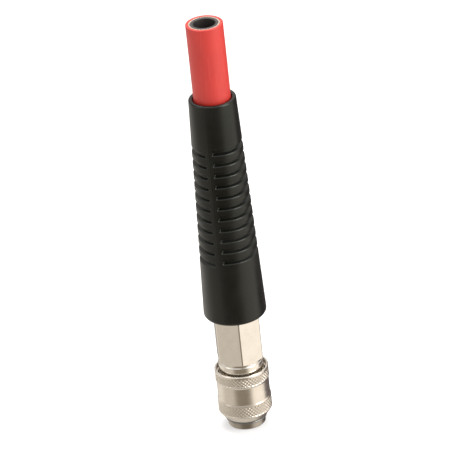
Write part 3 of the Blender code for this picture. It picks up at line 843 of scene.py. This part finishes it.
def make_valve_guide():
    """Guide disc with a bush for the poppet's stem and four air ports."""
    bottom, top, radius = span("valve_guide")
    disc_top = bottom + 1.5
    bore, bush = 2.3, 3.4
    outline = [(radius, disc_top, 0.15), (radius, bottom, 0.15), (bore, bottom, 0.2), (bore, top, 0.15),
               (bush, top, 0.2), (bush, disc_top, 0.3)]
    guide = lathe("guide_spider", rounded(outline))
    ring_radius = 5.3 * MM
    port_height = (bottom + 0.7) * MM
    port_radius, port_depth = 1.2, 4.0
    places = []
    for angle in port_angles():
        place = (ring_radius * math.cos(angle), ring_radius * math.sin(angle), port_height)
        places.append(Matrix.Translation(place))
    drill(guide, places, port_radius, port_depth)
    weigh_normals(guide)
    stand_for(guide, "valve_guide", ROOT, BRASS)


def make_hose_stem():
    """Barbed stem with a threaded end and a hexagonal collar."""
    bottom, top, _ = span("hose_stem")
    collar_low, collar_high = STEM_COLLAR
    bore, root, barb = 3.2, 4.0, 4.45
    barb_count, barb_pitch = 5, 5.0
    flange, flange_low, flange_high = 6.2, 65.0, 65.6
    neck = 5.3
    collar_face, collar_corner = 8.9, 9.8
    thread_radius, thread_root = STEM_THREAD_RADIUS, 7.2
    outline = [(bore, bottom, 0.2), (bore, top, 0.15), (root, top, 0.2)]
    for index in range(barb_count):
        tip = top - 0.5 - index * barb_pitch
        outline += [(root, tip, 0.1), (barb, tip - 3.2, 0.08), (root, tip - 3.6, 0.1)]
    outline += [
        (root, flange_high, 0.2), (flange, flange_high, 0.15), (flange, flange_low, 0.1),
        (neck, flange_low, 0.1), (neck, collar_high, 0.2),
        (collar_face, collar_high, 0.2), (collar_corner, collar_high - 0.5),
        (collar_corner, collar_low + 0.5), (collar_face, collar_low, 0.2),
        (thread_root, collar_low, 0.2), (thread_root, collar_low - 1.6, 0.2),
        (thread_radius, collar_low - 2.4), (thread_radius, bottom + 0.8), (thread_root, bottom, 0.15),
    ]
    points = refined(rounded(outline), bottom + 0.6, collar_low - 2.0, THREAD_ROW)
    points = refined(points, collar_low - 0.1, collar_high + 0.1, 0.2)
    thread = thread_cut(bottom + 0.8, collar_low - 2.4, thread_radius)

    def shape(angle, reach, height):
        """Thread at the front, spanner flats on the collar."""
        if reach > thread_radius + 0.2 and collar_low - 0.01 < height < collar_high + 0.01:
            return min(reach, hex_reach(angle, STEM_ACROSS_FLATS, STEM_EDGE_RADIUS))
        return thread(angle, reach, height)

    stem = lathe("barbed_stem", points, hex_angles(), shape)
    weigh_normals(stem)
    stand_for(stem, "hose_stem", ROOT, STEEL)


def make_ferrule():
    """Crimped ferrule: four pressed bands and eight marks from the dies."""
    bottom, top, radius = span("crimp_ferrule")
    inner = FERRULE_BORE_RADIUS
    lip, lip_top = 5.6, bottom + 1.2
    pressed = radius - 0.3
    first_band, band_pitch = 69.0, 6.0
    outline = [
        (inner, top, 0.15), (inner, lip_top, 0.2), (lip, lip_top, 0.15), (lip, bottom, 0.15),
        (radius, bottom, 0.5),
    ]
    for index in range(4):
        middle = first_band + index * band_pitch
        outline += [(radius, middle - 1.8, 0.6), (pressed, middle - 1.1, 0.5),
                    (pressed, middle + 1.1, 0.5), (radius, middle + 1.8, 0.6)]
    outline.append((radius, top, 0.4))
    dies = 8.0
    plain_end = 3.0
    mark_depth = 0.10
    mark_start = 0.75

    def shape(angle, reach, height):
        """Sink the eight die marks into the crimped length."""
        if reach < radius - 0.5 or not bottom + plain_end < height < top - plain_end:
            return reach
        sector = abs((angle * dies / FULL_TURN) % 1.0 - 0.5) * 2.0
        return reach - mark_depth * max(0.0, sector - mark_start) / (1.0 - mark_start)

    ferrule = lathe("crimped_sleeve", rounded(outline), even_angles(192), shape)
    weigh_normals(ferrule)
    stand_for(ferrule, "crimp_ferrule", ROOT, BRASS)


def make_hose():
    """Hose end, cut square, with its liner, braid and cover."""
    bottom, top, radius = span("hose_tail")
    liner_top, braid_top = top - 0.05, top - 0.25
    outline = [
        (radius, top, 0.3), (radius, bottom, 0.2), (HOSE_BORE_RADIUS, bottom, 0.2),
        (HOSE_BORE_RADIUS, liner_top, 0.3), (HOSE_LINER_RADIUS - 0.1, liner_top, 0.1),
        (HOSE_LINER_RADIUS + 0.05, braid_top, 0.1), (HOSE_BRAID_RADIUS - 0.05, braid_top, 0.1),
        (HOSE_BRAID_RADIUS + 0.1, top, 0.1),
    ]
    points = refined(rounded(outline), bottom, top, 4.0)
    unevenness = 0.03

    def shape(angle, reach, height):
        """A barely uneven wall, as an extruded hose has."""
        return reach + unevenness * math.sin(3.0 * angle + 0.08 * height) * (reach / radius)

    hose = lathe("air_hose_end", points, even_angles(144), shape)
    stand_for(hose, "hose_tail", ROOT, HOSE_RUBBER)


def make_braid_ends():
    """Cut ends of the reinforcing yarns, standing in the hose's end face."""
    _, top, _ = span("hose_tail")
    radius = (HOSE_LINER_RADIUS + HOSE_BRAID_RADIUS) / 2.0
    sunk = 0.22
    yarn_radius = 0.5
    flattened = Matrix.Diagonal((0.5, 1.0, 0.45, 1.0))
    bm = bmesh.new()
    for angle in even_angles(YARN_COUNT):
        place = Matrix.Translation(round_place(radius, angle, top - sunk))
        place = place @ Matrix.Rotation(angle, 4, "Z") @ flattened
        bmesh.ops.create_uvsphere(bm, u_segments=12, v_segments=8, radius=yarn_radius * MM, matrix=place)
    mesh = bpy.data.meshes.new("braid_yarn_ends")
    bm.to_mesh(mesh)
    bm.free()
    yarn_ends = new_piece("braid_yarn_ends", mesh)
    yarn_ends.data.materials.append(YARN)
    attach(yarn_ends, ROOT)


def smooth_step(value):
    """Ease from 0 to 1."""
    value = min(1.0, max(0.0, value))
    return value * value * (3.0 - 2.0 * value)


def groove_depth(angle, height):
    """Depth of the boot's grooves at one place."""
    from_web = (angle - WEB_ANGLE) % FULL_TURN
    half = int(from_web / math.pi)
    from_web = min(from_web % math.pi, math.pi - from_web % math.pi)
    ends = smooth_step((from_web - WEB_HALF_WIDTH) / GROOVE_RUN_OUT)
    place = (height - GROOVE_FIRST[half]) / GROOVE_PITCH
    row = min(max(round(place), 0), GROOVE_COUNT - 1)
    offset = abs(place - row) * GROOVE_PITCH
    return GROOVE_DEPTH * ends * smooth_step((GROOVE_HALF_WIDTH - offset) / GROOVE_WALL)


def make_bend_restrictor():
    """Tapered rubber boot with a cuff, a grooved middle and a collar."""
    bottom, top, base_radius = span("bend_restrictor")
    ferrule_top = span("crimp_ferrule")[1]
    hex_pocket, pocket_end = 10.25, 63.6
    ferrule_pocket = 9.5
    row_height = GROOVE_PITCH / GROOVE_ROWS
    cuff_gap = 0.6
    row_count = math.floor((COLLAR_START - CUFF_END - cuff_gap) / row_height)
    outer_skin = 0.6
    seam_height = 0.05
    seam_half_width = 0.3

    def taper(height):
        """Radius of the plain taper."""
        return base_radius + (height - bottom) / (top - bottom) * (BOOT_TOP_RADIUS - base_radius)

    outline = [(taper(top), top, 0.9)]
    for index in range(row_count + 1):
        height = COLLAR_START - index * row_height
        outline.append((taper(height), height))
    outline += [
        (taper(CUFF_END), CUFF_END, 0.6), (taper(bottom), bottom, 3.2), (hex_pocket, bottom, 0.6),
        (hex_pocket, pocket_end, 0.5), (ferrule_pocket, pocket_end + 0.8, 0.5),
        (ferrule_pocket, ferrule_top + 1.0, 0.4),
        (BOOT_BORE_RADIUS, ferrule_top + 2.0, 0.4), (BOOT_BORE_RADIUS, top, 0.7),
    ]

    def shape(angle, reach, height):
        """Grooves and the mould's parting line on the outer face."""
        if reach < taper(height) - outer_skin:
            return reach
        reach -= groove_depth(angle, height)
        if bottom + 2.0 < height < top - 1.0:
            from_seam = (angle - WEB_ANGLE + math.pi / 2.0) % math.pi - math.pi / 2.0
            reach += seam_height * smooth_step(1.0 - abs(from_seam) * reach / seam_half_width)
        return reach

    boot = lathe("bend_boot", rounded(outline), even_angles(288, WEB_ANGLE), shape)
    stand_for(boot, "bend_restrictor", ROOT, BOOT_RUBBER)


# ------------------------------------------------------------------- stage

def make_floor():
    """Plain pale floor, a little bright of its own so that its shadows stay light."""
    bpy.ops.mesh.primitive_circle_add(vertices=96, radius=3.0, fill_type="NGON", location=(0, 0, -0.0002))
    floor = bpy.context.object
    floor.name = "floor"
    material, tree, shader, coords = start_material("pale_floor", 0.7, 0.0)
    cloud = noise(tree, coords, 2.0, 2.0)
    tree.links.new(blend_colours(tree, remap(tree, cloud, 0.3, 0.7, 0.0, 1.0),
                                 (0.56, 0.56, 0.56, 1.0), (0.54, 0.54, 0.54, 1.0)),
                   shader.inputs["Base Color"])
    shader.inputs["Emission Color"].default_value = (1.0, 1.0, 1.0, 1.0)
    shader.inputs["Emission Strength"].default_value = 0.45
    floor.data.materials.append(material)
    floor.visible_glossy = False


def lobe(tree, direction, towards, edge, core):
    """Value that rises to 1 round one direction of the surround."""
    aim = Vector(towards).normalized()
    product = add_node(tree, "ShaderNodeVectorMath", {0: direction, 1: aim}, operation="DOT_PRODUCT")
    inputs = {"Value": product.outputs["Value"], "From Min": edge, "From Max": core}
    ramp = add_node(tree, "ShaderNodeMapRange", inputs, interpolation_type="SMOOTHSTEP")
    return ramp.outputs["Result"]


# Patches of the surround: direction, cosines of the outer edge and of the
# core, and colour. Each is painted over the ones before it.
SURROUND_PATCHES = (
    ((0.87, -0.30, -0.40), 0.55, 0.90, (1.15, 1.08, 0.98, 1.0)),
    ((-0.73, 0.51, -0.45), 0.80, 0.95, (0.90, 0.85, 0.78, 1.0)),
    ((-0.84, -0.30, -0.40), 0.80, 0.97, (0.66, 0.61, 0.54, 1.0)),
    ((-0.05, -0.87, -0.50), 0.74, 0.97, (0.26, 0.22, 0.17, 1.0)),
    ((0.0, 0.0, -1.0), 0.62, 0.90, (0.68, 0.64, 0.58, 1.0)),
    ((0.55, 0.70, -0.45), 0.74, 0.90, (0.14, 0.12, 0.12, 1.0)),
)


def make_world():
    """Soft surround, bright above and on the right. Seen directly, it is plain and pale."""
    world = bpy.data.worlds.new("studio")
    bpy.context.scene.world = world
    world.use_nodes = True
    tree = world.node_tree
    background = tree.nodes["Background"]
    direction = add_node(tree, "ShaderNodeTexCoord").outputs["Generated"]
    low_grey = (0.44, 0.41, 0.37, 1.0)
    overhead = (0.95, 0.95, 0.95, 1.0)
    backdrop = (0.93, 0.93, 0.93, 1.0)
    tint = blend_colours(tree, lobe(tree, direction, (0.0, 0.0, 1.0), 0.0, 0.9), low_grey, overhead)
    for towards, edge, core, colour in SURROUND_PATCHES:
        tint = blend_colours(tree, lobe(tree, direction, towards, edge, core), tint, colour)
    seen_directly = add_node(tree, "ShaderNodeLightPath").outputs["Is Camera Ray"]
    tint = blend_colours(tree, seen_directly, tint, backdrop)
    tree.links.new(tint, background.inputs["Color"])
    background.inputs["Strength"].default_value = 1.0


def add_area_light(name, place, size, power):
    """Soft rectangular light aimed at the middle of the coupler."""
    light = bpy.data.lights.new(name, "AREA")
    light.shape = "RECTANGLE"
    light.size, light.size_y = size
    light.energy = power
    lamp = bpy.data.objects.new(name, light)
    bpy.context.scene.collection.objects.link(lamp)
    lamp.location = place
    target = Vector((0.0, 0.0, 0.09))
    lamp.rotation_euler = (target - Vector(place)).to_track_quat("-Z", "Y").to_euler()


def make_lights():
    """Softboxes: one on the right, a weak one on the left, a broad one above."""
    add_area_light("right_softbox", (0.55, -0.30, 0.45), (0.35, 0.7), 4.0)
    add_area_light("left_softbox", (-0.60, -0.15, 0.35), (0.3, 0.6), 0.5)
    add_area_light("top_softbox", (0.0, 0.25, 0.85), (0.6, 0.6), 6.0)


def make_camera():
    """Long lens that looks down from the front, rolled as the hose hangs."""
    data = bpy.data.cameras.new("camera")
    data.lens = 372.0
    data.sensor_width = 36.0
    data.clip_start = 0.01
    camera = bpy.data.objects.new("camera", data)
    bpy.context.scene.collection.objects.link(camera)
    bpy.context.scene.camera = camera
    low, high = CAD_BOX
    target = (Vector(low) + Vector(high)) / 2.0
    elevation = math.radians(27.0)
    roll = math.radians(6.2)
    distance = 2.0
    offset = Vector((0.0, -math.cos(elevation), math.sin(elevation))) * distance
    facing = (-offset).to_track_quat("-Z", "Y").to_matrix().to_4x4()
    camera.matrix_world = Matrix.Translation(target + offset) @ facing @ Matrix.Rotation(-roll, 4, "Z")


bpy.context.scene.view_settings.view_transform = "Standard"
make_camera()
make_world()
make_lights()
make_floor()
make_socket_body()
make_stop_ring()
make_balls()
make_locking_sleeve()
simple_ring("slide_washer", "thrust_washer", "sleeve_carriage", STEEL,
            inner=WASHER_BORE_RADIUS, rounding=0.12)
make_spring("sleeve_coil", "sleeve_spring",
            mean_radius=9.15, wire_radius=0.5, turns=5.0)
make_plug_seal()
make_valve_seat()
make_valve_poppet()
make_valve_face_seal()
make_spring("valve_coil", "valve_spring",
            mean_radius=4.2, wire_radius=0.4, turns=4.5)
make_valve_guide()
simple_ring("flat_gasket", "body_gasket", ROOT, SEAL_RUBBER, inner=GASKET_BORE_RADIUS, rounding=0.2)
make_adapter()
simple_ring("sealing_washer", "thread_seal_washer", ROOT, BRASS, inner=WASHER_BORE_RADIUS, rounding=0.15)
make_hose_stem()
make_ferrule()
make_hose()
make_braid_ends()
make_bend_restrictor()
